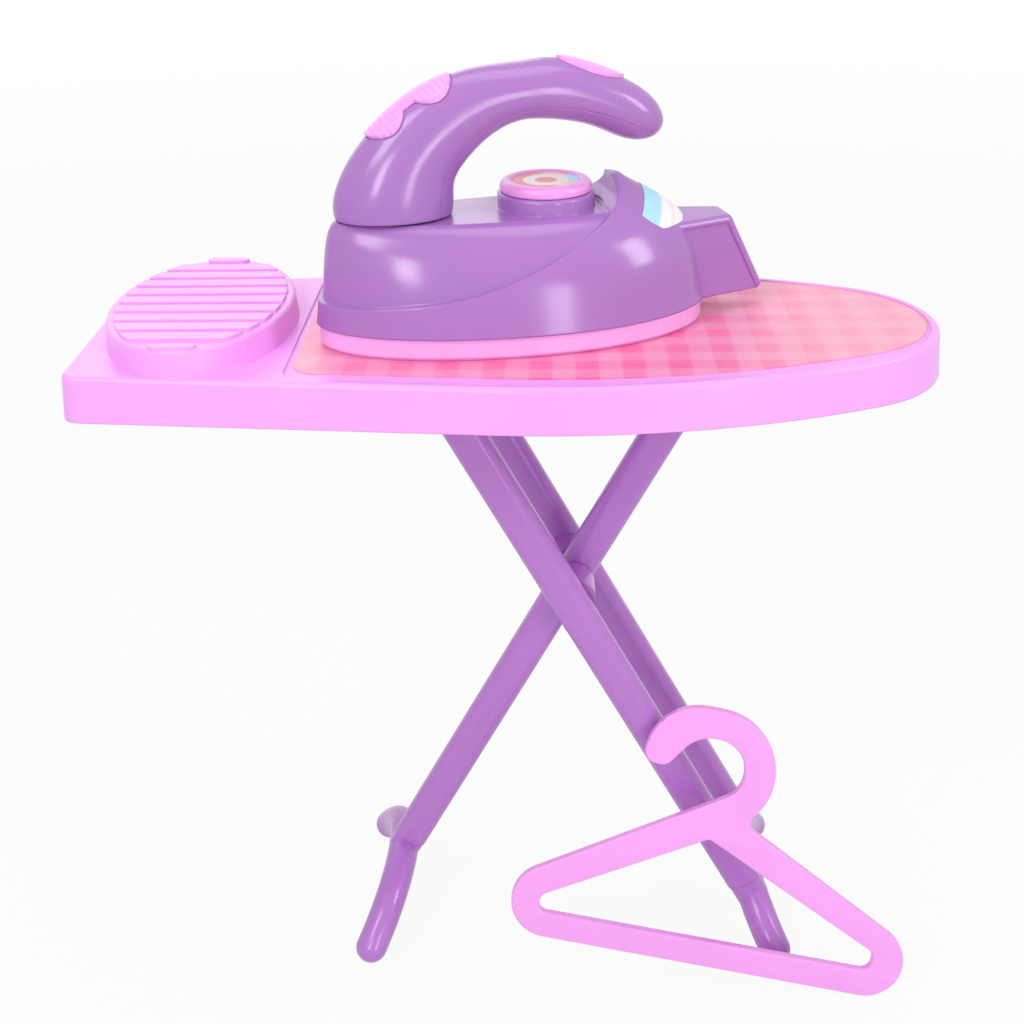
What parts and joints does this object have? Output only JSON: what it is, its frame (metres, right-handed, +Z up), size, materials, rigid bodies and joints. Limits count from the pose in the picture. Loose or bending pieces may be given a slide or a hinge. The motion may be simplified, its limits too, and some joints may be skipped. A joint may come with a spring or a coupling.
{
  "type": "toy ironing board",
  "caption": "Toy ironing board on folding crossed legs with arched feet and a printed cover, with its toy iron on top and a clothes hanger leaning on a leg.",
  "frame": {"origin": "on the floor under the middle of the board", "axes": "+Z up, +X towards the board's rounded nose, the near side faces -Y"},
  "size_m": [0.383, 0.168, 0.4453],
  "materials": {
    "pink_board": "satin",
    "pink_sole": "gloss",
    "purple_shell": "gloss",
    "printed_cover": "satin",
    "dial_print": "satin",
    "label_print": "satin",
    "steel": "satin"
  },
  "bodies": {
    "board": {"board_top": "pink_board", "board_cover": "printed_cover"},
    "centre_leg": {"centre_bar": "purple_shell", "centre_top_rod": "steel", "centre_foot": "purple_shell"},
    "outer_leg": {"outer_bar_near": "purple_shell", "outer_bar_far": "purple_shell", "outer_top_rod": "steel", "outer_foot": "purple_shell", "pivot_pin": "purple_shell", "pivot_spacer_near": "purple_shell", "pivot_spacer_far": "purple_shell"},
    "iron": {"iron_sole": "pink_sole", "iron_body": "purple_shell", "iron_screws": "steel", "handle_outer_shell": "purple_shell", "handle_inner_shell": "purple_shell", "stripe_label": "label_print"},
    "dial_knob": {"dial": "pink_sole", "dial_print": "dial_print", "dial_clip": "steel"},
    "front_pad": {"front_button": "pink_sole"},
    "rear_pad": {"rear_button": "pink_sole"},
    "hanger": {"hanger": "pink_sole"}
  },
  "joints": [
    {"name": "leg_fold", "type": "hinge", "parent": "board", "child": "centre_leg", "pos_m": [0.08925, 0, 0.314], "axis": [0, 1, 0], "range_deg": [0, 57]},
    {"name": "leg_cross", "type": "hinge", "parent": "centre_leg", "child": "outer_leg", "pos_m": [0.026, 0, 0.198], "axis": [0, -1, 0], "range_deg": [0, 114]},
    {"name": "iron_lift", "type": "slide", "parent": "board", "child": "iron", "axis": [0, 0, 1], "range_m": [0, 0.15]},
    {"name": "dial_turn", "type": "hinge", "parent": "iron", "child": "dial_knob", "pos_m": [0.01435, 0.00166, 0.3886], "axis": [0, 0, 1], "continuous": true},
    {"name": "front_button_press", "type": "slide", "parent": "iron", "child": "front_pad", "axis": [0.5678, 0.1521, -0.809], "range_m": [0, 0.0015], "stiffness_N_per_m": 1200, "springref_m": -0.0005},
    {"name": "rear_button_press", "type": "slide", "parent": "iron", "child": "rear_pad", "axis": [-0.25, -0.067, -0.9659], "range_m": [0, 0.0015], "stiffness_N_per_m": 1200, "springref_m": -0.0005},
    {"name": "hanger_lift", "type": "slide", "parent": "board", "child": "hanger", "axis": [0, -0.8, 0.6], "range_m": [0, 0.15]}
  ],
  "couplings": [
    {"joint": "leg_cross", "follows": "leg_fold", "ratio": 2}
  ]
}
